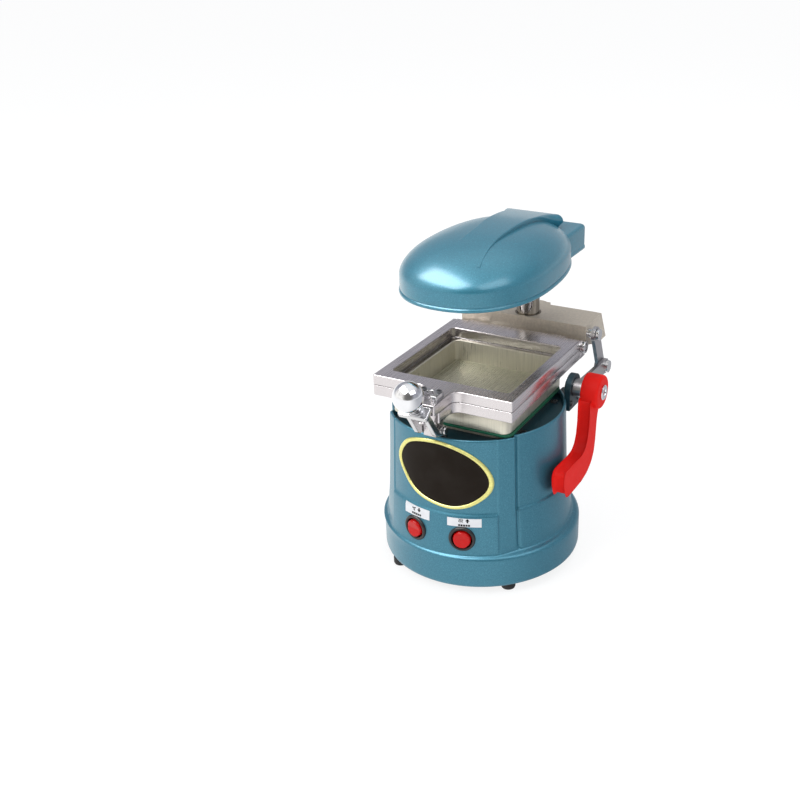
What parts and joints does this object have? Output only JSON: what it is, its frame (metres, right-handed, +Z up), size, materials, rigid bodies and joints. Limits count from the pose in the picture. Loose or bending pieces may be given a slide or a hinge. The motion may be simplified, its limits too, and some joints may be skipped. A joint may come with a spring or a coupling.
{
  "type": "dental vacuum former",
  "caption": "Dental vacuum former with a round teal base, square clamping frame on a rear post, red side lever and swing-over heater head.",
  "frame": {"origin": "centre of the whole footprint on the floor plane under the feet; the base ring's axis is 5.25 mm to its left and 5.1 mm in front of it", "axes": "+Z up, -Y to the front (badge and switches), +X to the lever side"},
  "size_m": [0.1994, 0.2908, 0.3106],
  "materials": {
    "teal_paint": "metallic hammer-free enamel, glossy",
    "black_sheet": "satin",
    "bracket_paint": "satin",
    "black_rubber": "matte",
    "green_rubber": "satin",
    "dark_deck": "satin",
    "machined_alu": "satin",
    "cast_alu": "satin",
    "bright_steel": "brushed",
    "nickel": "polished nickel",
    "chrome": "mirror",
    "steel": "satin",
    "bronze": "satin",
    "gold": "satin",
    "badge_black": "gloss",
    "label_white": "satin",
    "black_plastic": "gloss",
    "red_plastic": "gloss",
    "coil": "oxidised",
    "ceramic": "matte"
  },
  "bodies": {
    "base": {"body": "teal_paint", "base_plate": "black_sheet", "base_screws": "steel", "feet": "black_rubber", "top_deck": "dark_deck", "deck_screws": "steel", "vacuum_table": "machined_alu", "gasket": "green_rubber", "chamber": "bright_steel", "tray": "machined_alu", "impeller_housing": "black_sheet", "vacuum_motor": "cast_alu", "badge": "badge_black", "badge_trim": "gold", "label_vacuum": "label_white", "label_heat": "label_white", "bezel_vacuum": "black_plastic", "bezel_heat": "black_plastic", "power_inlet": "black_plastic", "inlet_pins": "bronze", "post_bracket": "teal_paint", "bracket_bolts": "steel", "post": "chrome", "guide_rod": "chrome", "post_collar": "black_sheet", "post_screw": "steel", "lever_bracket": "bracket_paint", "lever_screws": "steel"},
    "switch_vacuum": {"rocker_vacuum": "red_plastic"},
    "switch_heat": {"rocker_heat": "red_plastic"},
    "carriage": {"carriage": "nickel", "carriage_bush": "bronze", "frame_screws": "steel", "frame_lower": "nickel", "sheet_seal": "black_rubber", "hinge_pin": "steel", "latch_pin": "steel", "link_stud": "steel"},
    "frame": {"frame_upper": "nickel", "lug_strike": "nickel", "strike_screws": "steel"},
    "latch": {"latch_yoke": "nickel"},
    "knob": {"knob": "chrome"},
    "lever": {"lever_shaft": "steel", "crank": "steel", "crank_bolt": "steel", "handle": "red_plastic", "handle_cap": "chrome"},
    "link": {"link": "steel"},
    "head": {"head_cover": "teal_paint", "head_plate": "bright_steel", "head_screws": "steel", "reflector": "bright_steel", "heater_coil": "coil", "heater_holders": "ceramic", "head_bush": "bronze"}
  },
  "joints": [
    {"name": "carriage_lift", "type": "slide", "parent": "base", "child": "carriage", "axis": [0, 0, 1], "range_m": [0, 0.035]},
    {"name": "lever_turn", "type": "hinge", "parent": "base", "child": "lever", "pos_m": [0.07475, 0.0434, 0.158], "axis": [1, 0, 0], "range_deg": [-0.5, 30]},
    {"name": "link_swing", "type": "hinge", "parent": "carriage", "child": "link", "pos_m": [0.06955, 0.0939, 0.1925], "axis": [1, 0, 0], "range_deg": [-8, 0.5]},
    {"name": "head_swing", "type": "hinge", "parent": "base", "child": "head", "pos_m": [-0.00525, 0.1039, 0.275], "axis": [0, 0, 1], "range_deg": [-100, 100]},
    {"name": "frame_open", "type": "hinge", "parent": "carriage", "child": "frame", "pos_m": [-0.00525, 0.0809, 0.183], "axis": [-1, 0, 0], "range_deg": [0, 20]},
    {"name": "latch_swing", "type": "hinge", "parent": "carriage", "child": "latch", "pos_m": [-0.00525, -0.0931, 0.161], "axis": [1, 0, 0], "range_deg": [0, 50]},
    {"name": "knob_turn", "type": "hinge", "parent": "latch", "child": "knob", "pos_m": [-0.00525, -0.1322, 0.2066], "axis": [0, -0.5736, 0.8192], "continuous": true},
    {"name": "switch_vacuum_tilt", "type": "hinge", "parent": "base", "child": "switch_vacuum", "pos_m": [-0.02639, -0.0899, 0.0556], "axis": [0.9703, -0.2419, 0], "range_deg": [0, 12]},
    {"name": "switch_heat_tilt", "type": "hinge", "parent": "base", "child": "switch_heat", "pos_m": [0.01913, -0.08903, 0.0556], "axis": [0.9603, 0.279, 0], "range_deg": [0, 12]}
  ],
  "couplings": [
    {"joint": "lever_turn", "follows": "carriage_lift", "rad_per_m": 14.1},
    {"joint": "link_swing", "follows": "carriage_lift", "rad_per_m": -3.58}
  ]
}
